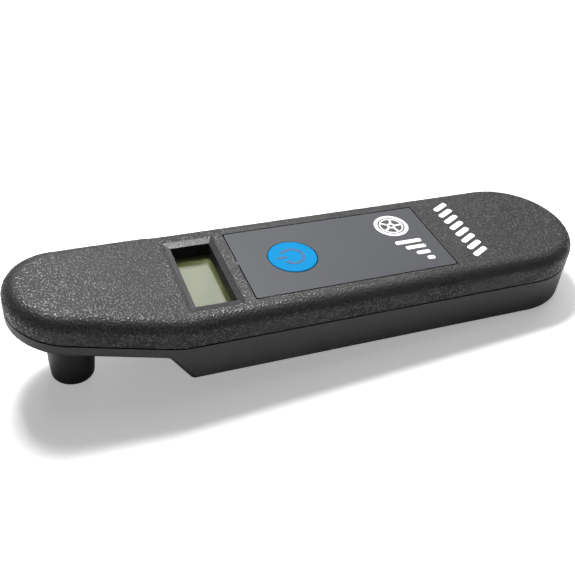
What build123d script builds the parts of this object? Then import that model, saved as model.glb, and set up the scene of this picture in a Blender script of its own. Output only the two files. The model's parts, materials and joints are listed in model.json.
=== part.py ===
"""Digital tyre gauge: a palm-sized two-part housing with a bent-up head.

The head carries a hollow nozzle that is pushed on a tyre valve, and the handle carries the
display, one key, the circuit board and a coin cell behind a quarter-turn cap.

X runs from the nose to the tail, Z is up, and the housing is symmetric about the XZ plane.
The origin is under the middle of the housing, level with the nozzle's mouth.
"""

import os
from math import hypot, radians, tan

from build123d import *

# ---------------------------------------------------------------- housing
overall_length = 159.0
body_width = 39.0
nose_radius = 15.3
head_length = 39.7          # nose tip to the line where the head bends up
head_angle = 7.5            # degrees that the head rises from the handle
crown_height = 6.8          # seam to top face
handle_depth = 10.9         # seam to the handle's underside
head_depth = 3.5            # seam to the head's underside
step_gap = 4.4              # bend line to the top of the step under the head
step_run = 5.6              # length of the step's slope
wall = 2.0
head_floor = 1.6
shoulder_radius = 3.7
belly_radius = 1.0
waist_radius = 30.0         # where the head's sides meet the handle's
waist_arc = 40.0            # degrees of that arc, so that it reaches past both tangents
bend_radius = 12.0
step_radius = 1.6
seam_gap = 0.45
seam_inset = 0.5
tongue_height = 1.0
tongue_inset = 1.0
tongue_thickness = 0.9
root_overlap = 0.5          # how far a boss or a collar runs into the wall that it stands on

# ---------------------------------------------------------------- nozzle and sensor
nozzle_reach = 19.1         # seam of the handle to the nozzle's mouth
nozzle_setback = 14.5       # nose tip to the nozzle's axis
bore_radius = 4.1
bore_depth = 10.2           # mouth to the face of the seal
mouth_wall = 1.3
mouth_rounding = 0.95
root_wall = 1.75
taper_length = 6.0
passage_radius = 1.5
seat_drop = 0.9             # flange seat below the seam at the nozzle's axis
flange_lip = 1.1
flange_thickness = 0.9
seal_thickness = 2.0
seal_hole_radius = 1.7
seal_lip = 0.35             # how far the seal's chamber is cut back behind the bore
seal_edge_radius = 0.4
pin_radius = 0.7
pin_tip_radius = 0.25
pin_vents = 3
pin_vent_radius = 0.4
pin_vent_gap = 0.55         # edge of the seal's hole to the middle of a vent
pin_base_thickness = 0.8
pin_recess = 0.1            # pin's tip behind the face of the seal
gasket_radius = 3.4
gasket_thickness = 0.5
sensor_size = 7.5
sensor_height = 1.8
sensor_corner = 0.6
sensor_port_radius = 0.8
sensor_board_length = 12.0
sensor_board_width = 10.0
sensor_board_shift = 1.0    # middle of the sensor board behind the nozzle's axis
sensor_board_thickness = 0.7
sensor_board_rim = 0.3      # board left round each of its posts

# ---------------------------------------------------------------- display
display_setback = 8.9       # bend line to the middle of the opening
display_length = 10.5
display_margin = 7.25       # side of the housing to the opening
bezel_front = 2.55
bezel_back = 1.4
bezel_side = 2.5
bezel_depth = 0.8
well_depth = 3.3
ledge = 1.0
window_thickness = 0.8
lcd_gap = 0.2               # air between the window and the display
lcd_thickness = 1.7
reflector_thickness = 0.25
zebra_width = 1.6
collar_wall = 1.5

# ---------------------------------------------------------------- panel and key
panel_setback = 18.7        # bend line to the panel's front edge
panel_length = 56.7
panel_margin = 5.65
panel_thickness = 1.0
panel_gap = 0.35
panel_corner = 0.5
panel_tab_width = 1.4
panel_tab_shift = 1.0       # middle line to the middle of the tab
key_setback = 33.4          # bend line to the key's middle
key_radius = 6.6
key_gap = 0.18
key_proud = 0.15
key_edge_radius = 0.35
key_travel = 0.5
key_flange_lip = 1.3
key_flange_thickness = 0.8
key_stem_radius = 1.7

# ---------------------------------------------------------------- circuit board
board_drop = 1.5            # seam to the board's top
board_thickness = 1.2
board_side_gap = 1.0
board_corner = 1.0
board_front_gap = 9.55      # board's front edge to the middle of the display
board_back_gap = 21.0       # coin cell's middle to the board's back edge
switch_size = 6.0
switch_height = 3.2
switch_corner = 0.5
plunger_radius = 1.75
plunger_rise = 0.9
plunger_depth = 1.6
dome_height = 0.4
dome_skirt = 0.15
potting_radius = 4.2
potting_height = 1.5
potting_edge_radius = 1.2
small_part_margin = 9.0     # side of the housing to the middle of the crystal and of the chips
crystal_length = 7.5
crystal_width = 3.2
crystal_height = 2.2
chip_length = 2.0
chip_width = 1.2
chip_height = 0.7
chip_rows = (3, 2)
chip_pitch = (3.0, 2.4)
flex_width = 6.0
flex_thickness = 0.3
flex_start = 5.0            # nozzle's axis to the flex's end on the sensor board
flex_level = 2.5            # length that lies flat under the sensor board
flex_landing = 1.8          # length that lies flat on the main board
flex_lead = 1.0             # front of the main board to the bend before it

# ---------------------------------------------------------------- coin cell and cap
cell_setback = 62.0         # tail tip to the cell's middle
cell_radius = 10.0
cell_height = 3.2
cell_edge_radius = 0.4
cell_lid_height = 0.5
cell_rim = 1.1              # side of the cell to its raised lid
cell_room = 0.3
cap_floor = 2.2
cap_flange = 1.25
cap_gap = 0.15              # radial clearance of the cap's flange in its rebate
cap_edge_radius = 0.3
hatch_gap = 1.2             # cell to the edge of the hatch
hatch_rebate = 2.3
ledge_thickness = 1.0
well_headroom = 2.0         # top of the lugs to the top of the well's wall
lugs = 3
lug_reach = 1.1
lug_height = 1.0
lug_angle = 36.0
notch_angle = 44.0
cap_turn = 45.0
coin_slot = (14.0, 2.0, 0.9)
spring_thickness = 0.25
spring_foot = (7.0, 4.0)    # ends of the spring's foot, in front of the cell's middle
spring_touch = (2.5, 5.0)   # ends of the part that lies on the cell, behind its middle
clip_thickness = 0.4
contact_width = 4.0

# ---------------------------------------------------------------- fasteners
front_screw_gap = 8.7       # bend line to the front screws
rear_screw_gap = 22.0       # tail tip to the rear screws
screw_margin = 9.5
screw_radius = 1.1
screw_head_radius = 2.2
screw_head_height = 1.4
screw_boss_wall = 1.1
pilot_boss_wall = 1.65
front_counterbore = 1.75
rear_counterbore = 4.5
screw_engagement = 3.4
board_screw_radius = 0.85
board_screw_head = 1.7
board_screw_head_height = 1.0
board_screw_gap = 21.3      # bend line to the board's front screws
sensor_screw_radius = 0.7
sensor_screw_head = 1.4
sensor_screw_head_height = 0.6
sensor_screw_engagement = 2.8
post_wall = 1.1
cross_span = 1.3            # cross recess: span, width and depth as shares of the head's
cross_width = 0.32          # radius, radius and height
cross_depth = 0.55
fit = 0.05                  # radial clearance of a running or located fit
air = 0.2                   # clearance between pieces that don't touch

# ---------------------------------------------------------------- places worked out
half_width = body_width / 2
nose_x = -overall_length / 2
tail_x = overall_length / 2
bend_x = nose_x + head_length
seam_z = nozzle_reach
roof_z = seam_z + crown_height
ceiling_z = roof_z - wall
belly_z = seam_z - handle_depth
slope = tan(radians(head_angle))
far = overall_length        # past either end of the housing

nozzle_x = nose_x + nozzle_setback
nozzle_rise = (bend_x - nozzle_x) * slope
seat_z = seam_z + nozzle_rise - seat_drop
flange_top = seat_z + flange_thickness
chamber_top = bore_depth + seal_thickness + pin_base_thickness
chamber_radius = bore_radius + seal_lip
sensor_top = flange_top + sensor_height
sensor_board_top = sensor_top + sensor_board_thickness

display_x = bend_x + display_setback
display_width = 2 * (half_width - display_margin)
window_top = roof_z - bezel_depth - well_depth
window_bottom = window_top - window_thickness
lcd_top = window_bottom - lcd_gap
lcd_bottom = lcd_top - lcd_thickness
pocket_length = display_length + 2 * ledge
pocket_width = display_width + 2 * ledge
collar_length = pocket_length + 2 * collar_wall
collar_width = pocket_width + 2 * collar_wall

panel_x = bend_x + panel_setback + panel_length / 2
panel_width = 2 * (half_width - panel_margin)
panel_bottom = roof_z - panel_thickness
key_x = bend_x + key_setback

board_top = seam_z - board_drop
board_bottom = board_top - board_thickness
cell_x = tail_x - cell_setback
board_front = display_x - board_front_gap
board_back = cell_x + board_back_gap
board_width = body_width - 2 * (wall + board_side_gap)
switch_top = board_top + switch_height
plunger_top = switch_top + plunger_rise
plunger_bottom = plunger_top - plunger_depth
key_flange_top = ceiling_z - air / 2
key_flange_bottom = key_flange_top - key_flange_thickness

cell_bottom = belly_z + cap_floor + air / 2
cell_top = cell_bottom + cell_height
hatch_radius = cell_radius + hatch_gap
rebate_radius = hatch_radius + hatch_rebate
rebate_top = belly_z + cap_flange + fit
ledge_top = rebate_top + ledge_thickness
lug_radius = hatch_radius + lug_reach
well_inner = lug_radius + 2 * air
well_outer = well_inner + collar_wall
well_top = ledge_top + 2 * air + lug_height + well_headroom
holder_inner = cell_radius + 2 * clip_thickness
holder_outer = holder_inner + collar_wall

screw_y = half_width - screw_margin
front_screws = [(bend_x - front_screw_gap, side * screw_y) for side in (-1, 1)]
rear_screws = [(tail_x - rear_screw_gap, side * screw_y) for side in (-1, 1)]
front_rise = front_screw_gap * slope
screw_boss_radius = screw_head_radius + fit + screw_boss_wall
board_screw_y = board_width / 2 - board_screw_head - board_side_gap
board_screws = [
    (x, side * board_screw_y)
    for x in (bend_x + board_screw_gap, board_back - board_screw_head - board_side_gap)
    for side in (-1, 1)
]
post_radius = sensor_screw_radius + post_wall
flange_radius = bore_radius + root_wall + flange_lip
post_y = flange_radius + 2 * air + post_radius
posts = [(nozzle_x, side * post_y) for side in (-1, 1)]


# ---------------------------------------------------------------- shapes that the housing is cut from
def bent_line(offset):
    """Side view of a line beside the seam: level along the handle, rising along the head."""
    knee = bend_x + offset * tan(radians(head_angle / 2))
    return [
        (knee - far, seam_z + offset + far * slope),
        (knee, seam_z + offset),
        (far, seam_z + offset),
    ]


def crossing(a, b, c, d):
    """Point where the line through a and b meets the line through c and d."""
    ab = (b[0] - a[0], b[1] - a[1])
    cd = (d[0] - c[0], d[1] - c[1])
    turn = ab[0] * cd[1] - ab[1] * cd[0]
    along = ((c[0] - a[0]) * cd[1] - (c[1] - a[1]) * cd[0]) / turn
    return (a[0] + along * ab[0], a[1] + along * ab[1])


def belly_line(thickness, head_thickness):
    """Side view of the underside: head, step and handle, moved in by the floor's thickness."""
    head = bent_line(head_thickness - head_depth)[:2]
    outer_head = bent_line(-head_depth)[:2]
    top_x = bend_x - step_gap
    top = crossing(*outer_head, (top_x, 0), (top_x, far))
    foot = (top_x + step_run, belly_z)
    length = hypot(foot[0] - top[0], foot[1] - top[1])
    shift = (
        thickness * (top[1] - foot[1]) / length,
        thickness * (foot[0] - top[0]) / length,
    )
    step = [(top[0] + shift[0], top[1] + shift[1]), (foot[0] + shift[0], foot[1] + shift[1])]
    level = [(bend_x, belly_z + thickness), (far, belly_z + thickness)]
    return [head[0], crossing(*head, *step), crossing(*step, *level), level[1]]


def housing_block(inset, lower, upper, lower_radius=bend_radius):
    """Solid inside the housing's outline, drawn in by inset, between two side-view lines."""
    with BuildPart() as block:
        with BuildSketch(Plane.XZ):
            with BuildLine():
                low = FilletPolyline(*lower, radius=lower_radius)
                high = FilletPolyline(*upper, radius=bend_radius)
                Line(low @ 0, high @ 0)
                Line(low @ 1, high @ 1)
            make_face()
        extrude(amount=body_width, both=True)
        with BuildSketch():
            with BuildLine():
                CenterArc((nose_x + nose_radius, 0), nose_radius - inset, 0, 360)
                CenterArc((tail_x - half_width, 0), half_width - inset, 0, 360)
                for side in (-1, 1):
                    waist_y = side * (half_width - waist_radius)
                    CenterArc((bend_x, waist_y), waist_radius - inset, side * 90 - waist_arc / 2, waist_arc)
            make_hull()
        extrude(amount=far, mode=Mode.INTERSECT)
    return block.part


def housing_ring(outer_inset, inner_inset, lower, upper):
    """Wall of even thickness that follows the housing's outline."""
    inner = housing_block(inner_inset, lower, upper)
    with BuildPart() as ring:
        add(housing_block(outer_inset, lower, upper))
        add(inner, mode=Mode.SUBTRACT)
    return ring.part


def fasteners(places, seat, length, radius, head_radius, head_height, downwards):
    """Cross-headed screws, with the underside of each head on the plane at seat."""
    way = -1 if downwards else 1
    with BuildPart() as screws:
        with BuildSketch(Plane.XY.offset(seat)):
            with Locations(*places):
                Circle(radius)
        extrude(amount=way * length)
        with BuildSketch(Plane.XY.offset(seat)):
            with Locations(*places):
                Circle(head_radius)
        extrude(amount=-way * head_height)
        with BuildSketch(Plane.XY.offset(seat - way * head_height)):
            with Locations(*places):
                Rectangle(head_radius * cross_span, head_radius * cross_width)
                Rectangle(head_radius * cross_width, head_radius * cross_span)
        extrude(amount=way * head_height * cross_depth, mode=Mode.SUBTRACT)
    return screws.part


seam = bent_line(0)
hollow_top = bent_line(crown_height - wall)

# ---------------------------------------------------------------- upper shell
blank = housing_block(0, seam, bent_line(crown_height))
hollow = housing_block(wall, bent_line(-1), hollow_top)
rebate = housing_block(tongue_inset - fit, bent_line(-1), bent_line(tongue_height + fit))

with BuildPart() as upper_shell:
    add(blank)
    roof_faces = upper_shell.faces().filter_by(lambda face: face.normal_at().Z > 0.9)
    rim = roof_faces.edges().filter_by(Axis.Y, reverse=True)
    fillet(rim, radius=min(shoulder_radius, crown_height * 0.8))
    add(hollow, mode=Mode.SUBTRACT)
    add(rebate, mode=Mode.SUBTRACT)

    # collar that holds the window and the display, hung from the roof
    with BuildSketch(Plane.XY.offset(board_top + air)):
        with Locations((display_x, 0)):
            Rectangle(collar_length, collar_width)
    extrude(amount=ceiling_z + root_overlap - board_top - air)
    with BuildSketch(Plane.XY.offset(board_top)):
        with Locations((display_x, 0)):
            Rectangle(pocket_length, pocket_width)
    extrude(amount=window_top - board_top, mode=Mode.SUBTRACT)
    with BuildSketch(Plane.XY.offset(board_top)):
        with Locations((display_x, 0)):
            Rectangle(display_length, display_width)
    extrude(amount=far, mode=Mode.SUBTRACT)

    # sloping bezel round the opening
    with BuildSketch(Plane.XY.offset(roof_z - bezel_depth)):
        with Locations((display_x, 0)):
            Rectangle(display_length, display_width)
    with BuildSketch(Plane.XY.offset(roof_z)):
        with Locations((display_x + (bezel_back - bezel_front) / 2, 0)):
            Rectangle(display_length + bezel_front + bezel_back, display_width + 2 * bezel_side)
    loft(mode=Mode.SUBTRACT)

    # recess for the control panel, with the key's hole through it
    with BuildSketch(Plane.XY.offset(panel_bottom)):
        with Locations((panel_x, 0)):
            RectangleRounded(panel_length + 2 * panel_gap, panel_width + 2 * panel_gap, panel_corner)
    extrude(amount=crown_height, mode=Mode.SUBTRACT)
    with BuildSketch(Plane.XY.offset(board_top)):
        with Locations((key_x, 0)):
            Circle(key_radius + key_gap)
    extrude(amount=crown_height + board_drop, mode=Mode.SUBTRACT)

    # bosses for the housing screws
    for places, rise in ((front_screws, front_rise), (rear_screws, 0)):
        with BuildSketch(Plane.XY.offset(seam_z + rise)):
            with Locations(*places):
                Circle(screw_radius + pilot_boss_wall)
        extrude(amount=crown_height - wall + root_overlap)
        with BuildSketch(Plane.XY.offset(seam_z + rise)):
            with Locations(*places):
                Circle(screw_radius + fit)
        extrude(amount=screw_engagement + air, mode=Mode.SUBTRACT)

    # bosses for the board's screws
    with BuildSketch(Plane.XY.offset(board_top)):
        with Locations(*board_screws):
            Circle(board_screw_radius + screw_boss_wall)
    extrude(amount=ceiling_z - board_top + root_overlap)
    with BuildSketch(Plane.XY.offset(board_top)):
        with Locations(*board_screws):
            Circle(board_screw_radius + fit)
    extrude(amount=screw_engagement + air, mode=Mode.SUBTRACT)

upper_shell.part.label = "upper_shell"

# ---------------------------------------------------------------- lower shell
belly = housing_block(0, belly_line(0, 0), seam, step_radius)
belly_hollow = housing_block(wall, belly_line(wall, head_floor), bent_line(1), step_radius / 2)
tongue = housing_ring(tongue_inset, tongue_inset + tongue_thickness, bent_line(-1), bent_line(tongue_height))
shadow_gap = housing_ring(0, seam_inset, bent_line(-seam_gap), bent_line(1))

with BuildPart() as socket_blank:
    add(belly)
    with BuildSketch(Plane.XY.offset(seat_z)):
        with Locations((nozzle_x, 0)):
            Circle(flange_radius)
    extrude(amount=-far, mode=Mode.INTERSECT)
socket = socket_blank.part

with BuildPart() as lower_shell:
    add(belly)
    under = lower_shell.faces().filter_by(lambda face: face.normal_at().Z < -0.4)
    fillet(under.edges().filter_by(Axis.Y, reverse=True), radius=min(belly_radius, step_radius * 0.8))
    add(belly_hollow, mode=Mode.SUBTRACT)
    add(tongue)
    add(shadow_gap, mode=Mode.SUBTRACT)

    # socket for the nozzle
    add(socket)
    with BuildSketch(Plane.XY.offset(seat_z)):
        with Locations((nozzle_x, 0)):
            Circle(flange_radius + air)
    extrude(amount=flange_thickness + 1, mode=Mode.SUBTRACT)
    with BuildSketch(Plane.XY.offset(belly_z)):
        with Locations((nozzle_x, 0)):
            Circle(bore_radius + root_wall + fit)
    extrude(amount=far, mode=Mode.SUBTRACT)

    # posts that the sensor board is screwed to
    with BuildSketch(Plane.XY.offset(sensor_top)):
        with Locations(*posts):
            Circle(post_radius)
    extrude(amount=-(sensor_top - seam_z - nozzle_rise + head_depth - head_floor / 2))
    with BuildSketch(Plane.XY.offset(sensor_top)):
        with Locations(*posts):
            Circle(sensor_screw_radius + fit)
    extrude(amount=-(sensor_screw_engagement + air), mode=Mode.SUBTRACT)

    # tubes for the housing screws, each with a counterbore from below
    for places, rise, depth, counterbore in (
        (front_screws, front_rise, head_depth, front_counterbore),
        (rear_screws, 0, handle_depth, rear_counterbore),
    ):
        with BuildSketch(Plane.XY.offset(seam_z + rise)):
            with Locations(*places):
                Circle(screw_boss_radius)
        extrude(amount=-(depth - head_floor / 2))
        with BuildSketch(Plane.XY.offset(seam_z + rise)):
            with Locations(*places):
                Circle(screw_radius + fit)
        extrude(amount=-2 * handle_depth, mode=Mode.SUBTRACT)
        with BuildSketch(Plane.XY.offset(seam_z + rise - depth + counterbore)):
            with Locations(*places):
                Circle(screw_head_radius + fit)
        extrude(amount=-2 * handle_depth, mode=Mode.SUBTRACT)

    # round hatch for the coin cell: well, rebate, ledge and three notches
    with BuildSketch(Plane.XY.offset(belly_z + wall / 2)):
        with Locations((cell_x, 0)):
            Circle(well_outer)
    extrude(amount=well_top - belly_z - wall / 2)
    with BuildSketch(Plane.XY.offset(ledge_top)):
        with Locations((cell_x, 0)):
            Circle(well_inner)
    extrude(amount=handle_depth, mode=Mode.SUBTRACT)
    with BuildSketch(Plane.XY.offset(belly_z)):
        with Locations((cell_x, 0)):
            Circle(hatch_radius)
    extrude(amount=handle_depth, mode=Mode.SUBTRACT)
    with BuildSketch(Plane.XY.offset(belly_z)):
        with Locations((cell_x, 0)):
            Circle(rebate_radius)
    extrude(amount=rebate_top - belly_z, mode=Mode.SUBTRACT)
    for turn in range(lugs):
        start = turn * 360 / lugs - cap_turn - notch_angle / 2
        with BuildSketch(Plane.XY.offset(belly_z)):
            with BuildLine():
                edge = CenterArc((cell_x, 0), lug_radius + air, start, notch_angle)
                Line(edge @ 0, (cell_x, 0))
                Line(edge @ 1, (cell_x, 0))
            make_face()
        extrude(amount=ledge_top - belly_z, mode=Mode.SUBTRACT)

lower_shell.part.label = "lower_shell"

# ---------------------------------------------------------------- control panel and key
with BuildPart() as control_panel:
    with BuildSketch(Plane.XY.offset(panel_bottom)):
        with Locations((panel_x, 0)):
            RectangleRounded(panel_length, panel_width, panel_corner)
        with Locations((panel_x - panel_length / 2, panel_tab_shift)):
            Rectangle(2 * panel_gap, panel_tab_width)
        with Locations((key_x, 0)):
            Circle(key_radius + key_gap, mode=Mode.SUBTRACT)
    extrude(amount=panel_thickness)
control_panel.part.label = "control_panel"

with BuildPart() as on_key:
    with BuildSketch(Plane.XY.offset(key_flange_bottom)):
        with Locations((key_x, 0)):
            Circle(key_radius + key_flange_lip)
    extrude(amount=key_flange_thickness)
    with BuildSketch(Plane.XY.offset(key_flange_top)):
        with Locations((key_x, 0)):
            Circle(key_radius)
    extrude(amount=roof_z + key_proud - key_flange_top)
    fillet(on_key.edges().group_by(Axis.Z)[-1], radius=key_edge_radius)
    with BuildSketch(Plane.XY.offset(plunger_top)):
        with Locations((key_x, 0)):
            Circle(key_stem_radius)
    extrude(amount=key_flange_top - plunger_top)
on_key.part.label = "on_key"

# ---------------------------------------------------------------- tactile switch
with BuildPart() as switch_body:
    with BuildSketch(Plane.XY.offset(board_top)):
        with Locations((key_x, 0)):
            RectangleRounded(switch_size, switch_size, switch_corner)
    extrude(amount=switch_height)
    with BuildSketch(Plane.XY.offset(switch_top)):
        with Locations((key_x, 0)):
            Circle(plunger_radius + fit)
    extrude(amount=-(plunger_depth - plunger_rise + key_travel + dome_height), mode=Mode.SUBTRACT)
switch_body.part.label = "switch_body"

with BuildPart() as switch_plunger:
    with BuildSketch(Plane.XY.offset(plunger_bottom)):
        with Locations((key_x, 0)):
            Circle(plunger_radius)
    extrude(amount=plunger_depth)
switch_plunger.part.label = "switch_plunger"

dome_base = plunger_bottom - key_travel - dome_height
with BuildPart() as switch_dome:
    with BuildSketch(Plane.XY.offset(dome_base)):
        with Locations((key_x, 0)):
            Circle(plunger_radius - 2 * fit)
    extrude(amount=dome_skirt)
    with BuildSketch(Plane.XY.offset(dome_base + dome_skirt)):
        with Locations((key_x, 0)):
            Circle(plunger_radius / 2)
    extrude(amount=dome_height - dome_skirt)
switch_dome.part.label = "switch_dome"

# ---------------------------------------------------------------- display stack
with BuildPart() as display_window:
    with BuildSketch(Plane.XY.offset(window_bottom)):
        with Locations((display_x, 0)):
            Rectangle(pocket_length - 2 * fit, pocket_width - 2 * fit)
    extrude(amount=window_thickness)
display_window.part.label = "display_window"

with BuildPart() as lcd_cell:
    with BuildSketch(Plane.XY.offset(lcd_bottom)):
        with Locations((display_x, 0)):
            Rectangle(pocket_length - 2 * fit, pocket_width - 2 * fit)
    extrude(amount=lcd_thickness)
lcd_cell.part.label = "lcd_cell"

with BuildPart() as lcd_reflector:
    with BuildSketch(Plane.XY.offset(lcd_bottom)):
        with Locations((display_x, 0)):
            Rectangle(display_length, pocket_width - 2 * fit)
            for side in (-1, 1):
                with Locations((0, side * (pocket_width / 2 - zebra_width / 2))):
                    Rectangle(pocket_length, zebra_width + 2 * air, mode=Mode.SUBTRACT)
    extrude(amount=-reflector_thickness)
lcd_reflector.part.label = "lcd_reflector"

with BuildPart() as zebra_strips:
    with BuildSketch(Plane.XY.offset(board_top)):
        with Locations((display_x, 0)):
            for side in (-1, 1):
                with Locations((0, side * (pocket_width / 2 - zebra_width / 2 - fit))):
                    Rectangle(display_length, zebra_width)
    extrude(amount=lcd_bottom - board_top)
zebra_strips.part.label = "zebra_strips"

# ---------------------------------------------------------------- main circuit board
with BuildPart() as main_board:
    with BuildSketch(Plane.XY.offset(board_bottom)):
        with Locations(((board_front + board_back) / 2, 0)):
            Rectangle(board_back - board_front, board_width)
        with Locations(*board_screws):
            Circle(board_screw_radius + air, mode=Mode.SUBTRACT)
    extrude(amount=board_thickness)
    fillet(main_board.edges().filter_by(Axis.Z).filter_by(GeomType.LINE), radius=board_corner)
main_board.part.label = "main_board"

with BuildPart() as controller_cap:
    with BuildSketch(Plane.XY.offset(board_bottom)):
        with Locations((display_x, 0)):
            Circle(potting_radius)
    extrude(amount=-potting_height)
    fillet(controller_cap.edges().group_by(Axis.Z)[0], radius=potting_edge_radius)
controller_cap.part.label = "controller_cap"

with BuildPart() as timing_crystal:
    with BuildSketch(Plane.XY.offset(board_bottom)):
        with Locations((display_x, half_width - small_part_margin)):
            SlotOverall(crystal_length, crystal_width)
    extrude(amount=-crystal_height)
timing_crystal.part.label = "timing_crystal"

with BuildPart() as chip_components:
    with BuildSketch(Plane.XY.offset(board_bottom)):
        with Locations((display_x, small_part_margin - half_width)):
            with GridLocations(*chip_pitch, *chip_rows):
                Rectangle(chip_length, chip_width)
    extrude(amount=-chip_height)
chip_components.part.label = "chip_components"

# ---------------------------------------------------------------- coin cell, its contacts and holder
with BuildPart() as coin_cell:
    with BuildSketch(Plane.XY.offset(cell_bottom)):
        with Locations((cell_x, 0)):
            Circle(cell_radius)
    extrude(amount=cell_height - cell_lid_height)
    with BuildSketch(Plane.XY.offset(cell_top - cell_lid_height)):
        with Locations((cell_x, 0)):
            Circle(cell_radius - cell_rim)
    extrude(amount=cell_lid_height)
    fillet(coin_cell.edges().group_by(Axis.Z)[0], radius=cell_edge_radius)
coin_cell.part.label = "coin_cell"

with BuildPart() as cell_holder:
    with BuildSketch(Plane.XY.offset(board_bottom)):
        with Locations((cell_x, 0)):
            Circle(holder_outer)
            Circle(holder_inner, mode=Mode.SUBTRACT)
    extrude(amount=-(board_bottom - cell_bottom - cell_height / 2))
cell_holder.part.label = "cell_holder"

with BuildPart() as negative_contact:
    with BuildSketch(Plane.XZ):
        with BuildLine():
            upper = Polyline(
                (cell_x - spring_foot[0], board_bottom),
                (cell_x - spring_foot[1], board_bottom),
                (cell_x + spring_touch[0], cell_top + spring_thickness),
                (cell_x + spring_touch[1], cell_top + spring_thickness),
            )
            lower = Polyline(
                (cell_x - spring_foot[0], board_bottom - spring_thickness),
                (cell_x - spring_foot[1] - spring_thickness, board_bottom - spring_thickness),
                (cell_x + spring_touch[0] - spring_thickness, cell_top),
                (cell_x + spring_touch[1], cell_top),
            )
            Line(upper @ 0, lower @ 0)
            Line(upper @ 1, lower @ 1)
        make_face()
    extrude(amount=contact_width / 2, both=True)
negative_contact.part.label = "negative_contact"

clip_x = cell_x + cell_radius + fit
with BuildPart() as positive_contact:
    with BuildSketch(Plane.XY.offset(cell_bottom + cell_height / 2)):
        with Locations((clip_x, 0)):
            Rectangle(clip_thickness, contact_width, align=(Align.MIN, Align.CENTER))
    extrude(amount=board_bottom - cell_bottom - cell_height / 2)
positive_contact.part.label = "positive_contact"

with BuildPart() as battery_cap:
    with BuildSketch(Plane.XY.offset(belly_z)):
        with Locations((cell_x, 0)):
            Circle(rebate_radius - cap_gap)
    extrude(amount=cap_flange)
    fillet(battery_cap.edges().group_by(Axis.Z)[0], radius=cap_edge_radius)
    with BuildSketch(Plane.XY.offset(belly_z + cap_flange)):
        with Locations((cell_x, 0)):
            Circle(hatch_radius - air)
    extrude(amount=ledge_top + air / 2 + lug_height - belly_z - cap_flange)
    for turn in range(lugs):
        with BuildSketch(Plane.XY.offset(ledge_top + air / 2)):
            with BuildLine():
                edge = CenterArc((cell_x, 0), lug_radius, turn * 360 / lugs - lug_angle / 2, lug_angle)
                Line(edge @ 0, (cell_x, 0))
                Line(edge @ 1, (cell_x, 0))
            make_face()
        extrude(amount=lug_height)
    with BuildSketch(Plane.XY.offset(belly_z + cap_floor)):
        with Locations((cell_x, 0)):
            Circle(cell_radius + cell_room)
    extrude(amount=handle_depth, mode=Mode.SUBTRACT)
    with BuildSketch(Plane.XY.offset(belly_z)):
        with Locations((cell_x, 0)):
            SlotOverall(coin_slot[0], coin_slot[1])
    extrude(amount=coin_slot[2], mode=Mode.SUBTRACT)
battery_cap.part.label = "battery_cap"

# ---------------------------------------------------------------- nozzle
mouth_radius = bore_radius + mouth_wall
root_radius = bore_radius + root_wall
with BuildPart() as nozzle:
    with BuildSketch(Plane.XZ):
        with BuildLine():
            Polyline(
                (nozzle_x + passage_radius, flange_top),
                (nozzle_x + flange_radius, flange_top),
                (nozzle_x + flange_radius, seat_z),
                (nozzle_x + root_radius, seat_z),
                (nozzle_x + root_radius, taper_length),
                (nozzle_x + mouth_radius, 0),
                (nozzle_x + bore_radius, 0),
                (nozzle_x + bore_radius, bore_depth),
                (nozzle_x + chamber_radius, bore_depth),
                (nozzle_x + chamber_radius, chamber_top),
                (nozzle_x + passage_radius, chamber_top),
                close=True,
            )
        make_face()
    revolve(axis=Axis((nozzle_x, 0, 0), (0, 0, 1)))
    mouth_edges = nozzle.edges().group_by(Axis.Z)[0].sort_by(SortBy.RADIUS)
    fillet(mouth_edges[-1], radius=min(mouth_rounding, mouth_wall * 0.8))
    with BuildSketch(Plane.XY.offset(flange_top)):
        with Locations((nozzle_x, 0)):
            Circle(gasket_radius)
    extrude(amount=-gasket_thickness, mode=Mode.SUBTRACT)
nozzle.part.label = "nozzle"

with BuildPart() as depressor_pin:
    with BuildSketch(Plane.XY.offset(chamber_top)):
        with Locations((nozzle_x, 0)):
            Circle(chamber_radius - fit)
            with PolarLocations(seal_hole_radius - pin_vent_gap, pin_vents):
                Circle(pin_vent_radius, mode=Mode.SUBTRACT)
    extrude(amount=-pin_base_thickness)
    with BuildSketch(Plane.XY.offset(chamber_top - pin_base_thickness)):
        with Locations((nozzle_x, 0)):
            Circle(pin_radius)
    extrude(amount=pin_recess - seal_thickness)
    fillet(depressor_pin.edges().group_by(Axis.Z)[0], radius=pin_tip_radius)
depressor_pin.part.label = "depressor_pin"

with BuildPart() as valve_seal:
    with BuildSketch(Plane.XY.offset(bore_depth + seal_thickness)):
        with Locations((nozzle_x, 0)):
            Circle(chamber_radius - fit)
            Circle(seal_hole_radius, mode=Mode.SUBTRACT)
    extrude(amount=-seal_thickness)
    fillet(valve_seal.edges().group_by(Axis.Z)[0].sort_by(SortBy.RADIUS)[0], radius=seal_edge_radius)
valve_seal.part.label = "valve_seal"

# ---------------------------------------------------------------- pressure sensor
with BuildPart() as sensor_gasket:
    with BuildSketch(Plane.XY.offset(flange_top)):
        with Locations((nozzle_x, 0)):
            Circle(gasket_radius - fit)
            Circle(passage_radius, mode=Mode.SUBTRACT)
    extrude(amount=-gasket_thickness)
sensor_gasket.part.label = "sensor_gasket"

with BuildPart() as pressure_sensor:
    with BuildSketch(Plane.XY.offset(flange_top)):
        with Locations((nozzle_x, 0)):
            RectangleRounded(sensor_size, sensor_size, sensor_corner)
            Circle(sensor_port_radius, mode=Mode.SUBTRACT)
    extrude(amount=sensor_height)
pressure_sensor.part.label = "pressure_sensor"

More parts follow.
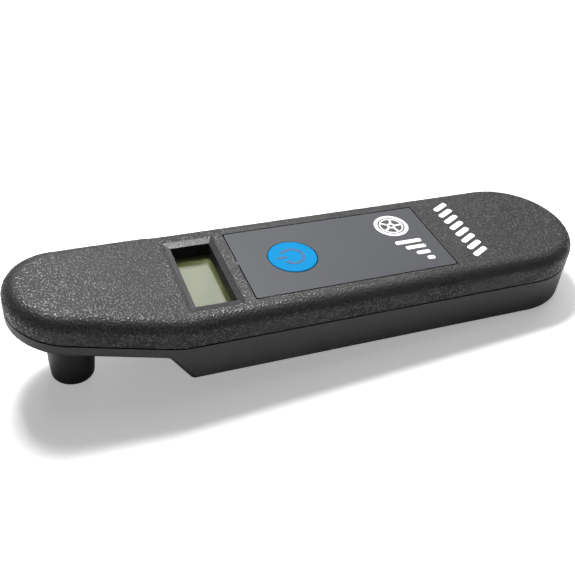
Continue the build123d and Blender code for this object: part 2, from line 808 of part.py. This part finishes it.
with BuildPart() as sensor_board:
    with BuildSketch(Plane.XY.offset(sensor_top)):
        with Locations((nozzle_x + sensor_board_shift, 0)):
            Rectangle(sensor_board_length, sensor_board_width)
        with Locations((nozzle_x, 0)):
            Rectangle(2 * post_radius, 2 * post_y)
        with Locations(*posts):
            Circle(post_radius + sensor_board_rim)
        with Locations(*posts):
            Circle(sensor_screw_radius + air, mode=Mode.SUBTRACT)
    extrude(amount=sensor_board_thickness)
sensor_board.part.label = "sensor_board"

with BuildPart() as sensor_flex:
    with BuildSketch(Plane.XZ):
        with BuildLine():
            bend = flex_thickness / 4
            leaves = nozzle_x + flex_start + flex_level
            upper = Polyline(
                (nozzle_x + flex_start, sensor_top),
                (leaves, sensor_top),
                (board_front - flex_lead, board_top + flex_thickness),
                (board_front + flex_landing, board_top + flex_thickness),
            )
            lower = Polyline(
                (nozzle_x + flex_start, sensor_top - flex_thickness),
                (leaves - bend, sensor_top - flex_thickness),
                (board_front - flex_lead - bend, board_top),
                (board_front + flex_landing, board_top),
            )
            Line(upper @ 0, lower @ 0)
            Line(upper @ 1, lower @ 1)
        make_face()
    extrude(amount=flex_width / 2, both=True)
sensor_flex.part.label = "sensor_flex"

# ---------------------------------------------------------------- screws
front_seat = seam_z + front_rise - head_depth + front_counterbore
rear_seat = belly_z + rear_counterbore
front_length = seam_z + front_rise + screw_engagement - front_seat
rear_length = seam_z + screw_engagement - rear_seat

housing_front_screws = fasteners(
    front_screws, front_seat, front_length, screw_radius, screw_head_radius, screw_head_height, False
)
housing_front_screws.label = "housing_front_screws"
housing_rear_screws = fasteners(
    rear_screws, rear_seat, rear_length, screw_radius, screw_head_radius, screw_head_height, False
)
housing_rear_screws.label = "housing_rear_screws"
board_fixings = fasteners(
    board_screws,
    board_bottom,
    board_thickness + screw_engagement,
    board_screw_radius,
    board_screw_head,
    board_screw_head_height,
    False,
)
board_fixings.label = "board_screws"
sensor_fixings = fasteners(
    posts,
    sensor_board_top,
    sensor_board_thickness + sensor_screw_engagement,
    sensor_screw_radius,
    sensor_screw_head,
    sensor_screw_head_height,
    True,
)
sensor_fixings.label = "sensor_screws"

# ---------------------------------------------------------------- export
built = [
    upper_shell, lower_shell, control_panel, on_key, switch_body, switch_plunger, switch_dome,
    display_window, lcd_cell, lcd_reflector, zebra_strips, main_board, controller_cap,
    timing_crystal, chip_components, coin_cell, cell_holder, negative_contact, positive_contact,
    battery_cap, nozzle, depressor_pin, valve_seal, sensor_gasket, pressure_sensor, sensor_board,
    sensor_flex,
]
pieces = [piece.part for piece in built]
pieces += [housing_front_screws, housing_rear_screws, board_fixings, sensor_fixings]

os.makedirs("parts", exist_ok=True)
for piece in pieces:
    export_step(piece, f"parts/{piece.label}.step")
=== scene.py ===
"""Looks of a palm-sized digital tyre gauge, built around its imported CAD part.

Everything is in metres in the part's own frame: X runs from the nose to the tail, and Z is up.
"""

import json
import math

import bmesh
import bpy
from mathutils import Matrix, Vector


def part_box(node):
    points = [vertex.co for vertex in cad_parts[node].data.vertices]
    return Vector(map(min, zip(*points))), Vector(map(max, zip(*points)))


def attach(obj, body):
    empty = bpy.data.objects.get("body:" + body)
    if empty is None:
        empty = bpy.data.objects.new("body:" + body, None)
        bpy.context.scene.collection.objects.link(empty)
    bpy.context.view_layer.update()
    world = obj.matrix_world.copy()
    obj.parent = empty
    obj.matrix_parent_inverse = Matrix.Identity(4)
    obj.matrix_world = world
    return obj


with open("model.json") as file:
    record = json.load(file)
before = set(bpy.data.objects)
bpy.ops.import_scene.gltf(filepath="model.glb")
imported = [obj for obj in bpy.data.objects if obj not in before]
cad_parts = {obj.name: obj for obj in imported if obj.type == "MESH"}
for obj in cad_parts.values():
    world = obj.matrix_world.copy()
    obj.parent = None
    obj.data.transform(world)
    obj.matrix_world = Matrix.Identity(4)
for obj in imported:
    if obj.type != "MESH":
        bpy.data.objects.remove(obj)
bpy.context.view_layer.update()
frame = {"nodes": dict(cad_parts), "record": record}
nodes = frame["nodes"]
MM = 0.001

# ---------------------------------------------------------------- places read from the frame
window_low, window_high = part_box("display_window")
panel_low, panel_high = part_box("control_panel")
key_low, key_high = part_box("on_key")
cap_low, cap_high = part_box("battery_cap")
shell_low, shell_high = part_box("upper_shell")
belly_low, belly_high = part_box("lower_shell")
cell_low, cell_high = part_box("coin_cell")
board_low, board_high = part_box("main_board")

window_centre = (window_low + window_high) / 2
key_centre = (key_low + key_high) / 2
cap_centre = (cap_low + cap_high) / 2
roof = panel_high.z
key_face = key_high.z
underside = cap_low.z

# ---------------------------------------------------------------- sizes of the new pieces
PRINT_HEIGHT = 0.05 * MM
PRINT_SINK = 0.01 * MM  # how far a print's foot lies under its face
MARK_HEIGHT = 0.2 * MM
MARK_SINK = 0.02 * MM  # how far a raised mark runs into the underside
WELD = 0.002 * MM  # corners closer than this are merged
CAP_TURN = math.radians(45)


# ---------------------------------------------------------------- node trees
def add_node(tree, kind, inputs=None, **settings):
    """Adds a node, sets it up, and joins or fills the inputs that are given by name or number."""
    node = tree.nodes.new("ShaderNode" + kind)
    for name, value in settings.items():
        setattr(node, name, value)
    for name, value in (inputs or {}).items():
        if isinstance(value, bpy.types.NodeSocket):
            tree.links.new(value, node.inputs[name])
        else:
            node.inputs[name].default_value = value
    return node


def maths(tree, operation, first, second=0.0):
    return add_node(tree, "Math", {0: first, 1: second}, operation=operation).outputs[0]


def span(tree, value, low, high, to_low=0.0, to_high=1.0):
    """Value from low..high to to_low..to_high, held at both ends."""
    inputs = {"Value": value, "From Min": low, "From Max": high, "To Min": to_low, "To Max": to_high}
    return add_node(tree, "MapRange", inputs).outputs["Result"]


def blend_colours(tree, mask, first, second):
    node = add_node(tree, "Mix", {0: mask, 6: first, 7: second}, data_type="RGBA")
    return node.outputs[2]


def grey(level):
    return (level, level, level, 1)


def start_group(name, inputs, outputs):
    """A shader node group with named sockets, and its two end nodes."""
    group = bpy.data.node_groups.new(name, "ShaderNodeTree")
    for socket, kind, value in inputs:
        made = group.interface.new_socket(socket, in_out="INPUT", socket_type="NodeSocket" + kind)
        if value is not None:
            made.default_value = value
    for socket, kind in outputs:
        group.interface.new_socket(socket, in_out="OUTPUT", socket_type="NodeSocket" + kind)
    begin = group.nodes.new("NodeGroupInput")
    end = group.nodes.new("NodeGroupOutput")
    return group, begin.outputs, end.inputs


def spark_grain():
    """Pebbled texture that spark erosion leaves in a mould: rounded grains with pits between them."""
    group, given, result = start_group(
        "spark_grain",
        [("Vector", "Vector", None), ("Pitch", "Float", 1000.0)],
        [("Height", "Float"), ("Pits", "Float")],
    )
    pebbles = add_node(
        group, "TexVoronoi", {"Vector": given["Vector"], "Scale": given["Pitch"], "Smoothness": 0.45},
        feature="SMOOTH_F1",
    )
    clusters = add_node(
        group, "TexNoise",
        {"Vector": given["Vector"], "Scale": maths(group, "MULTIPLY", given["Pitch"], 0.62), "Detail": 3.0},
    )
    dome = span(group, pebbles.outputs["Distance"], 0.1, 0.75, 1.0, 0.0)
    domes = maths(group, "MULTIPLY", dome, 0.85)
    height = maths(group, "ADD", domes, maths(group, "MULTIPLY", clusters.outputs["Fac"], 0.55))
    group.links.new(height, result["Height"])
    group.links.new(span(group, height, 0.70, 0.80, 1.0, 0.0), result["Pits"])
    return group


def handling():
    """Broad, faint patches where a moulded face has been handled."""
    group, given, result = start_group(
        "handling",
        [("Vector", "Vector", None), ("Size", "Float", 60.0)],
        [("Patches", "Float")],
    )
    broad = add_node(group, "TexNoise", {"Vector": given["Vector"], "Scale": given["Size"], "Detail": 4.0})
    group.links.new(span(group, broad.outputs["Fac"], 0.35, 0.65), result["Patches"])
    return group


def edge_wear():
    """Mask of the narrow band along an edge that rubbing polishes and lightens."""
    group, given, result = start_group(
        "edge_wear",
        [("Vector", "Vector", None), ("Breaks", "Float", 500.0)],
        [("Mask", "Float")],
    )
    rounded = add_node(group, "Bevel", {"Radius": 0.35 * MM}, samples=4)
    true_face = add_node(group, "NewGeometry")
    across = add_node(
        group, "VectorMath", {0: rounded.outputs["Normal"], 1: true_face.outputs["Normal"]},
        operation="DOT_PRODUCT",
    )
    edge = span(group, across.outputs["Value"], 0.99, 0.8)
    breaks = add_node(
        group, "TexNoise", {"Vector": given["Vector"], "Scale": given["Breaks"], "Detail": 3.0}
    )
    worn = maths(group, "MULTIPLY", edge, span(group, breaks.outputs["Fac"], 0.4, 0.6))
    group.links.new(worn, result["Mask"])
    return group


def lathe_lines():
    """Fine rings that turning or a rotary brush leaves round the Z axis."""
    group, given, result = start_group(
        "lathe_lines",
        [("Vector", "Vector", None), ("Pitch", "Float", 900.0)],
        [("Height", "Float")],
    )
    rings = add_node(
        group, "TexWave",
        {"Vector": given["Vector"], "Scale": given["Pitch"], "Distortion": 1.5, "Detail": 2.0},
        wave_type="RINGS", rings_direction="Z",
    )
    group.links.new(rings.outputs["Fac"], result["Height"])
    return group


def box_mask():
    """One inside a box, zero outside it, with a soft edge."""
    group, given, result = start_group(
        "box_mask",
        [
            ("Vector", "Vector", None),
            ("Centre", "Vector", None),
            ("Half", "Vector", None),
            ("Soft", "Float", 0.2 * MM),
        ],
        [("Mask", "Float")],
    )
    away = add_node(group, "VectorMath", {0: given["Vector"], 1: given["Centre"]}, operation="SUBTRACT")
    size = add_node(group, "VectorMath", {0: away.outputs[0]}, operation="ABSOLUTE")
    room = add_node(group, "VectorMath", {0: given["Half"], 1: size.outputs[0]}, operation="SUBTRACT")
    sides = add_node(group, "SeparateXYZ", {0: room.outputs[0]})
    nearest = maths(group, "MINIMUM", sides.outputs["X"], sides.outputs["Y"])
    nearest = maths(group, "MINIMUM", nearest, sides.outputs["Z"])
    inside = add_node(
        group, "MapRange", {"Value": nearest, "From Min": 0.0, "From Max": given["Soft"]},
    )
    group.links.new(inside.outputs["Result"], result["Mask"])
    return group


SPARK_GRAIN = spark_grain()
HANDLING = handling()
EDGE_WEAR = edge_wear()
LATHE_LINES = lathe_lines()
BOX_MASK = box_mask()


# ---------------------------------------------------------------- materials
class Finish:
    """A material with one Principled shader, whose constant values are set on its own sockets."""

    def __init__(self, name, **constants):
        self.material = bpy.data.materials.new(name)
        self.material.use_nodes = True
        self.tree = self.material.node_tree
        self.shader = self.tree.nodes["Principled BSDF"]
        self.place = add_node(self.tree, "TexCoord").outputs["Object"]
        for socket, value in constants.items():
            self.shader.inputs[socket.replace("_", " ")].default_value = value

    def group(self, tree, **inputs):
        node = add_node(self.tree, "Group", node_tree=tree)
        for name, value in {"Vector": self.place, **inputs}.items():
            if isinstance(value, bpy.types.NodeSocket):
                self.tree.links.new(value, node.inputs[name])
            else:
                node.inputs[name].default_value = value
        return node.outputs

    def noise(self, scale, detail=3.0):
        node = add_node(self.tree, "TexNoise", {"Vector": self.place, "Scale": scale, "Detail": detail})
        return node.outputs["Fac"]

    def span(self, *values):
        return span(self.tree, *values)

    def maths(self, *values):
        return maths(self.tree, *values)

    def blend(self, mask, first, second):
        return blend_colours(self.tree, mask, first, second)

    def feed(self, **sockets):
        for socket, source in sockets.items():
            self.tree.links.new(source, self.shader.inputs[socket.replace("_", " ")])

    def bump(self, height, depth, strength=1.0):
        made = add_node(self.tree, "Bump", {"Height": height, "Distance": depth, "Strength": strength})
        self.feed(Normal=made.outputs["Normal"])


def textured_plastic(name, pit_shade, light, pitch, depth, roughness, smooth_box=None):
    """Black moulding with a pebbled texture, smooth inside smooth_box, its pits coloured much darker as
    painted shade.
    """
    finish = Finish(name, IOR=1.5)
    grain = finish.group(SPARK_GRAIN, Pitch=pitch)
    patches = finish.group(HANDLING, Size=55.0)["Patches"]
    worn = finish.group(EDGE_WEAR)["Mask"]
    texture = grain["Height"]
    pits = grain["Pits"]
    if smooth_box:
        centre, half = smooth_box
        smooth = finish.group(BOX_MASK, Centre=centre, Half=half)["Mask"]
        rough_part = finish.maths("SUBTRACT", 1.0, finish.maths("MULTIPLY", smooth, 0.5))
        texture = finish.maths("MULTIPLY", texture, rough_part)
        pits = finish.maths("MULTIPLY", pits, rough_part)
    # Pits take the much darker colour and the grain tops the plastic's own black: painted shade in the
    # pits, standing in for the grain's glint contrast.
    base = finish.blend(pits, light, pit_shade)
    base = finish.blend(finish.maths("MULTIPLY", worn, 0.35), base, grey(0.09))
    gloss = finish.span(patches, 0.0, 1.0, roughness - 0.03, roughness + 0.04)
    gloss = finish.maths("ADD", gloss, finish.maths("MULTIPLY", pits, 0.42))
    finish.feed(Base_Color=base, Roughness=gloss)
    finish.bump(texture, depth)
    return finish.material


def satin_plastic(name, low, high, roughness, grain_pitch=2600.0, depth=0.006 * MM, gloss=0.5):
    """Smooth moulding with a fine matt grain and faint broad shading."""
    finish = Finish(name, IOR=1.5, Specular_IOR_Level=gloss)
    grain = finish.group(SPARK_GRAIN, Pitch=grain_pitch)
    patches = finish.group(HANDLING, Size=90.0)["Patches"]
    worn = finish.group(EDGE_WEAR)["Mask"]
    base = finish.blend(patches, low, high)
    lighter = tuple(min(1.0, 1.5 * c + 0.02) for c in high[:3]) + (1,)
    base = finish.blend(finish.maths("MULTIPLY", worn, 0.25), base, lighter)
    dull = finish.span(patches, 0.0, 1.0, roughness - 0.04, roughness + 0.04)
    dull = finish.maths("SUBTRACT", dull, finish.maths("MULTIPLY", worn, 0.1))
    finish.feed(Base_Color=base, Roughness=dull)
    finish.bump(grain["Height"], depth)
    return finish.material


def clear_window():
    finish = Finish("window_clear", IOR=1.49, Transmission_Weight=1.0)
    patches = finish.group(HANDLING, Size=140.0)["Patches"]
    tint = finish.blend(patches, (0.96, 0.97, 0.95, 1), (0.98, 0.99, 0.97, 1))
    finish.feed(Base_Color=tint, Roughness=finish.span(patches, 0.0, 1.0, 0.0, 0.03))
    return finish.material


def display_glass():
    """Blank reflective display: a grey-green polariser with faint lighter speckles painted in as glints off
    its reflector.
    """
    finish = Finish("lcd_green", IOR=1.5, Specular_IOR_Level=0.15)
    glint_speckle = finish.noise(9000.0, 2.0)
    patches = finish.group(HANDLING, Size=120.0)["Patches"]
    base = finish.blend(patches, (0.150, 0.168, 0.064, 1), (0.166, 0.186, 0.073, 1))
    # Lighter speckles painted into the colour: painted glints off the reflector.
    base = finish.blend(finish.span(glint_speckle, 0.45, 0.75, 0.0, 0.25), base, (0.26, 0.285, 0.145, 1))
    finish.feed(Base_Color=base, Roughness=finish.span(glint_speckle, 0.3, 0.7, 0.28, 0.36))
    return finish.material


def plated_metal(name, colour, dull, pitch, roughness):
    """Plated or turned metal: fine rings, a slightly uneven tone, and duller patches."""
    finish = Finish(name, Metallic=1.0)
    lines = finish.group(LATHE_LINES, Pitch=pitch)["Height"]
    patches = finish.group(HANDLING, Size=180.0)["Patches"]
    finish.feed(
        Base_Color=finish.blend(patches, colour, dull),
        Roughness=finish.span(patches, 0.0, 1.0, roughness - 0.05, roughness + 0.08),
    )
    finish.bump(lines, 0.004 * MM)
    return finish.material


def circuit_board():
    """Green solder mask over copper: raised traces on a regular pitch, broken up so that they end."""
    finish = Finish("board_green", IOR=1.5, Coat_Weight=0.3, Coat_Roughness=0.15)
    weave = finish.noise(2200.0)
    bands = add_node(
        finish.tree, "TexWave",
        {"Vector": finish.place, "Scale": 130.0, "Distortion": 0.0, "Detail": 0.0},
        wave_type="BANDS", bands_direction="Y",
    ).outputs["Fac"]
    reach = add_node(
        finish.tree, "TexVoronoi", {"Vector": finish.place, "Scale": 150.0},
        feature="F1", distance="CHEBYCHEV",
    ).outputs["Color"]
    kept = finish.span(add_node(finish.tree, "SeparateColor", {0: reach}).outputs["Red"], 0.45, 0.5)
    traces = finish.maths("MULTIPLY", finish.span(bands, 0.55, 0.62), kept)
    base = finish.blend(traces, (0.012, 0.11, 0.045, 1), (0.03, 0.21, 0.085, 1))
    base = finish.blend(finish.span(weave, 0.4, 0.7, 0.0, 0.2), base, (0.01, 0.07, 0.03, 1))
    finish.feed(Base_Color=base, Roughness=finish.span(weave, 0.3, 0.7, 0.3, 0.42))
    finish.bump(traces, 0.03 * MM)
    return finish.material


def printed_ink(name, low, high):
    """Pad-printed ink: even, matt, with tiny thin spots."""
    finish = Finish(name, IOR=1.45)
    speckle = finish.noise(3000.0)
    finish.feed(
        Base_Color=finish.blend(finish.span(speckle, 0.35, 0.65), low, high),
        Roughness=finish.span(speckle, 0.3, 0.7, 0.5, 0.62),
    )
    finish.bump(speckle, 0.01 * MM)
    return finish.material


bezel_reach = Vector((6.7, 14.4, 6.0)) * MM
MATERIALS = {
    "shell_black": textured_plastic(
        # grey(0.002) is the painted shade for the grain's pits; the second colour is the plastic's own
        # black.
        "shell_black", grey(0.002), (0.027, 0.028, 0.030, 1), 1900.0, 0.10 * MM, 0.27,
        (Vector((window_centre.x, 0, roof - 6 * MM)), bezel_reach),
    ),
    "shell_satin": satin_plastic(
        "shell_satin", grey(0.013), grey(0.018), 0.45, 2400.0, 0.012 * MM, gloss=0.4
    ),
    "panel_grey": satin_plastic(
        "panel_grey", (0.037, 0.0385, 0.045, 1), (0.043, 0.0445, 0.051, 1), 0.5, 2600.0, 0.006 * MM,
        gloss=0.3,
    ),
    "key_blue": satin_plastic(
        "key_blue", (0.001, 0.172, 0.385, 1), (0.002, 0.186, 0.415, 1), 0.6, 2600.0, 0.005 * MM,
        gloss=0.05,
    ),
    "nozzle_black": satin_plastic("nozzle_black", grey(0.008), (0.011, 0.011, 0.014, 1), 0.5),
    "window_clear": clear_window(),
    "lcd_green": display_glass(),
    "foil": plated_metal("foil", grey(0.75), (0.66, 0.67, 0.64, 1), 1500.0, 0.3),
    "zebra_rubber": satin_plastic("zebra_rubber", (0.5, 0.47, 0.45, 1), (0.58, 0.55, 0.53, 1), 0.75),
    "board_green": circuit_board(),
    "epoxy_black": satin_plastic("epoxy_black", grey(0.012), grey(0.02), 0.3, 900.0),
    "chip_ceramic": satin_plastic("chip_ceramic", (0.3, 0.22, 0.16, 1), (0.38, 0.3, 0.22, 1), 0.5),
    "contact_steel": plated_metal(
        "contact_steel", (0.66, 0.65, 0.61, 1), (0.52, 0.5, 0.46, 1), 1200.0, 0.3
    ),
    "cell_steel": plated_metal("cell_steel", grey(0.72), grey(0.6), 1000.0, 0.25),
    "holder_nylon": satin_plastic("holder_nylon", (0.66, 0.63, 0.56, 1), (0.74, 0.72, 0.66, 1), 0.55),
    "switch_black": satin_plastic("switch_black", grey(0.02), grey(0.03), 0.5),
    "pin_brass": plated_metal("pin_brass", (0.78, 0.57, 0.28, 1), (0.62, 0.43, 0.2, 1), 1400.0, 0.28),
    "seal_rubber": satin_plastic("seal_rubber", grey(0.018), grey(0.03), 0.8),
    "sensor_white": satin_plastic("sensor_white", (0.68, 0.67, 0.62, 1), (0.76, 0.75, 0.71, 1), 0.5),
    "flex_amber": satin_plastic("flex_amber", (0.45, 0.2, 0.03, 1), (0.58, 0.28, 0.06, 1), 0.3),
    "screw_steel": plated_metal("screw_steel", grey(0.56), grey(0.42), 1600.0, 0.32),
    "print_white": printed_ink("print_white", grey(0.78), grey(0.9)),
    "legend_blue": printed_ink("legend_blue", (0.006, 0.06, 0.15, 1), (0.01, 0.08, 0.19, 1)),
}


def dress_nodes():
    """Gives each CAD node the finish of its slot in the record."""
    slots = {part["node"]: part["material_slot"] for part in frame["record"]["subparts"]}
    for name, piece in nodes.items():
        piece.data.materials.clear()
        piece.data.materials.append(MATERIALS[slots[name]])


# ---------------------------------------------------------------- new pieces
def finish_piece(shape, name, body, finish):
    """Turns a bmesh into a piece with its place in its mesh, riding on a body."""
    bmesh.ops.remove_doubles(shape, verts=shape.verts, dist=WELD)
    bmesh.ops.recalc_face_normals(shape, faces=shape.faces)
    mesh = bpy.data.meshes.new(name)
    shape.to_mesh(mesh)
    shape.free()
    piece = bpy.data.objects.new(name, mesh)
    bpy.context.scene.collection.objects.link(piece)
    mesh.materials.append(MATERIALS[finish])
    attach(piece, body)


def add_bar(shape, centre, length, width, height, angle=0.0, corner=0.4):
    """Flat bar with rounded corners, its foot at centre and its length turned by angle from X."""
    made = bmesh.ops.create_cube(shape, size=1.0)["verts"]
    bmesh.ops.scale(shape, vec=(length, width, height), verts=made)
    edges = {e for v in made for e in v.link_edges}
    upright = [e for e in edges if abs(e.verts[0].co.z - e.verts[1].co.z) > 0.5 * height]
    rounded = bmesh.ops.bevel(
        shape, geom=upright, offset=corner * width, segments=4, profile=0.5, affect="EDGES", material=-1
    )
    corners = {v for f in rounded["faces"] for v in f.verts}
    spread = {v for f in {f for v in corners for f in v.link_faces} for v in f.verts}
    middle = centre + Vector((0, 0, height / 2))
    place = Matrix.Translation(middle) @ Matrix.Rotation(angle, 4, "Z")
    bmesh.ops.transform(shape, matrix=place, verts=list(spread))


def add_ring(shape, centre, outer, inner, height, start=0.0, sweep=math.tau, steps=48):
    """Flat ring or arc round a vertical axis, its foot at centre, turned from start by sweep."""
    corners = [(inner, 0), (outer, 0), (outer, height), (inner, height)]
    turned = Matrix.Rotation(start, 3, "Z")
    verts = [shape.verts.new(centre + turned @ Vector((r, 0, z))) for r, z in corners]
    face = shape.faces.new(verts)
    whole = abs(sweep - math.tau) < 1e-6
    bmesh.ops.spin(
        shape, geom=[face, *face.edges, *verts], cent=centre, axis=(0, 0, 1), angle=sweep,
        steps=steps, use_merge=whole, use_normal_flip=False, use_duplicate=False,
    )


def make_key_legend():
    """Power symbol printed on the key: an open ring with a bar, its top towards the display."""
    shape = bmesh.new()
    foot = Vector((key_centre.x, key_centre.y, key_face - PRINT_SINK))
    opening = math.radians(70)
    add_ring(shape, foot, 3.4 * MM, 2.5 * MM, PRINT_HEIGHT, math.pi + opening / 2, math.tau - opening, 40)
    add_bar(shape, foot - Vector((2.9 * MM, 0, 0)), 3.0 * MM, 0.9 * MM, PRINT_HEIGHT)
    finish_piece(shape, "key_legend", "key", "legend_blue")


def make_wheel_mark():
    """Plain wheel pictogram printed on the panel: tyre, rim, hub and spokes."""
    shape = bmesh.new()
    foot = Vector((26.0 * MM, 6.6 * MM, roof - PRINT_SINK))
    add_ring(shape, foot, 4.9 * MM, 3.9 * MM, PRINT_HEIGHT)
    add_ring(shape, foot, 3.45 * MM, 3.05 * MM, PRINT_HEIGHT)
    add_ring(shape, foot, 1.2 * MM, 0.6 * MM, PRINT_HEIGHT, steps=32)
    spokes = 5
    for number in range(spokes):
        angle = math.tau * number / spokes
        out = Vector((math.cos(angle), math.sin(angle), 0)) * 2.15 * MM
        add_bar(shape, foot + out, 1.6 * MM, 0.6 * MM, PRINT_HEIGHT, angle, 0.2)
    finish_piece(shape, "wheel_mark", "root", "print_white")


def make_level_mark():
    """Four bars of rising height printed on the panel."""
    shape = bmesh.new()
    for number in range(4):
        length = (2.2 + 1.9 * number) * MM
        centre = Vector((31.2 * MM - length / 2, (-9.6 + 2.7 * number) * MM, roof - PRINT_SINK))
        add_bar(shape, centre, length, 1.5 * MM, PRINT_HEIGHT)
    finish_piece(shape, "level_mark", "root", "print_white")


def make_tread_stripes():
    """Row of slanted bars printed across the tail."""
    shape = bmesh.new()
    slant = math.radians(28)
    stripes = 8
    for number in range(stripes):
        across = (-10.6 + 3.2 * number) * MM
        foot = Vector((44.8 * MM, across, roof - PRINT_SINK))
        add_bar(shape, foot, 5.6 * MM, 1.7 * MM, PRINT_HEIGHT, slant)
    finish_piece(shape, "tread_stripes", "root", "print_white")


def make_turn_marks():
    """Raised marks round the battery cap: an arc for its turn, with a bar at each end."""
    shape = bmesh.new()
    foot = Vector((cap_centre.x, cap_centre.y, underside - MARK_HEIGHT + MARK_SINK))
    reach = cap_high.x - cap_centre.x + 1.6 * MM
    add_ring(shape, foot, reach + 0.5 * MM, reach, MARK_HEIGHT, -CAP_TURN, CAP_TURN, 24)
    for angle, length in ((0.0, 2.4 * MM), (-CAP_TURN, 1.4 * MM)):
        out = Vector((math.cos(angle), math.sin(angle), 0)) * (reach + length / 2)
        add_bar(shape, foot + out, length, 0.6 * MM, MARK_HEIGHT, angle, 0.3)
    finish_piece(shape, "turn_marks", "root", "shell_satin")


def make_cap_mark():
    """Raised bar at the battery cap's rim, that shows how far the cap is turned."""
    shape = bmesh.new()
    foot = Vector((cap_high.x - 2.2 * MM, cap_centre.y, underside - MARK_HEIGHT + MARK_SINK))
    add_bar(shape, foot, 2.4 * MM, 0.6 * MM, MARK_HEIGHT, 0.0, 0.3)
    finish_piece(shape, "cap_mark", "cap", "shell_satin")


# ---------------------------------------------------------------- stage, light and camera
def resting_plane():
    """Point and tilt of the surface that the nozzle's mouth and the tail stand on."""
    mouth = max(v.co.x for v in nodes["nozzle"].data.vertices if v.co.z < 0.05 * MM)
    behind = [v.co for v in nodes["lower_shell"].data.vertices if v.co.x > 0]
    rise = min(co.z / (co.x - mouth) for co in behind)
    return Vector((mouth, 0, 0)), math.atan(rise)


def make_floor():
    point, tilt = resting_plane()
    shape = bmesh.new()
    bmesh.ops.create_grid(shape, x_segments=8, y_segments=8, size=3.0)
    place = Matrix.Translation(point) @ Matrix.Rotation(-tilt, 4, "Y")
    bmesh.ops.transform(shape, matrix=place, verts=shape.verts)
    mesh = bpy.data.meshes.new("floor")
    shape.to_mesh(mesh)
    shape.free()
    floor = bpy.data.objects.new("floor", mesh)
    bpy.context.scene.collection.objects.link(floor)
    paper = Finish("floor_paper", IOR=1.4, Specular_IOR_Level=0.2, Emission_Color=grey(1.0))
    tone = paper.noise(40.0)
    paper.feed(
        Base_Color=paper.blend(tone, grey(0.88), grey(0.92)),
        Roughness=paper.span(tone, 0.3, 0.7, 0.75, 0.85),
    )
    seen = add_node(paper.tree, "LightPath").outputs["Is Camera Ray"]
    paper.feed(Emission_Strength=paper.maths("MULTIPLY", seen, 0.35))
    mesh.materials.append(paper.material)


def add_softbox(name, place, width, depth, power):
    """Area light that faces the middle of the part."""
    light = bpy.data.lights.new(name, "AREA")
    light.shape = "RECTANGLE"
    light.size = width
    light.size_y = depth
    light.energy = power
    lamp = bpy.data.objects.new(name, light)
    lamp.location = place
    lamp.rotation_euler = (Vector((0, 0, 0.02)) - Vector(place)).to_track_quat("-Z", "Y").to_euler()
    bpy.context.scene.collection.objects.link(lamp)


def make_light():
    world = bpy.data.worlds.new("studio")
    world.use_nodes = True
    tree = world.node_tree
    direction = add_node(tree, "TexCoord").outputs["Generated"]
    parts = add_node(tree, "SeparateXYZ", {0: direction}).outputs
    near_side = span(tree, maths(tree, "ADD", parts["Y"], parts["X"]), 0.5, -0.1, 0.0, 1.6)
    low_down = span(tree, maths(tree, "ABSOLUTE", parts["Z"]), 0.12, 0.02)
    glow = maths(tree, "ADD", 0.1, maths(tree, "MULTIPLY", near_side, low_down))
    seen = add_node(tree, "LightPath").outputs["Is Camera Ray"]
    tree.links.new(maths(tree, "MAXIMUM", glow, seen), tree.nodes["Background"].inputs["Strength"])
    tree.nodes["Background"].inputs["Color"].default_value = (0.98, 0.99, 1.0, 1)
    bpy.context.scene.world = world
    add_softbox("overhead", (-0.02, 0.14, 0.75), width=0.5, depth=0.45, power=0.5)
    add_softbox("strip", (-0.03, 0.145, 0.33), width=0.13, depth=0.08, power=2.2)
    add_softbox("behind", (0.46, 0.60, 0.54), width=0.9, depth=0.5, power=3.2)
    bpy.context.scene.view_settings.view_transform = "Standard"


def make_camera():
    look_at = Vector((-8.76, -4.0, 19.1)) * MM
    azimuth = math.radians(-24.88)
    elevation = math.radians(38.35)
    roll = math.radians(6.2)
    distance = 0.21405
    back = Vector((
        math.sin(azimuth) * math.cos(elevation),
        -math.cos(azimuth) * math.cos(elevation),
        math.sin(elevation),
    ))
    camera = bpy.data.cameras.new("camera")
    camera.lens = 50.92
    holder = bpy.data.objects.new("camera", camera)
    holder.location = look_at + back * distance
    aim = (-back).to_track_quat("-Z", "Y") @ Matrix.Rotation(roll, 3, "Z").to_quaternion()
    holder.rotation_mode = "QUATERNION"
    holder.rotation_quaternion = aim
    bpy.context.scene.collection.objects.link(holder)
    bpy.context.scene.camera = holder


dress_nodes()
make_key_legend()
make_wheel_mark()
make_level_mark()
make_tread_stripes()
make_turn_marks()
make_cap_mark()
make_floor()
make_light()
make_camera()
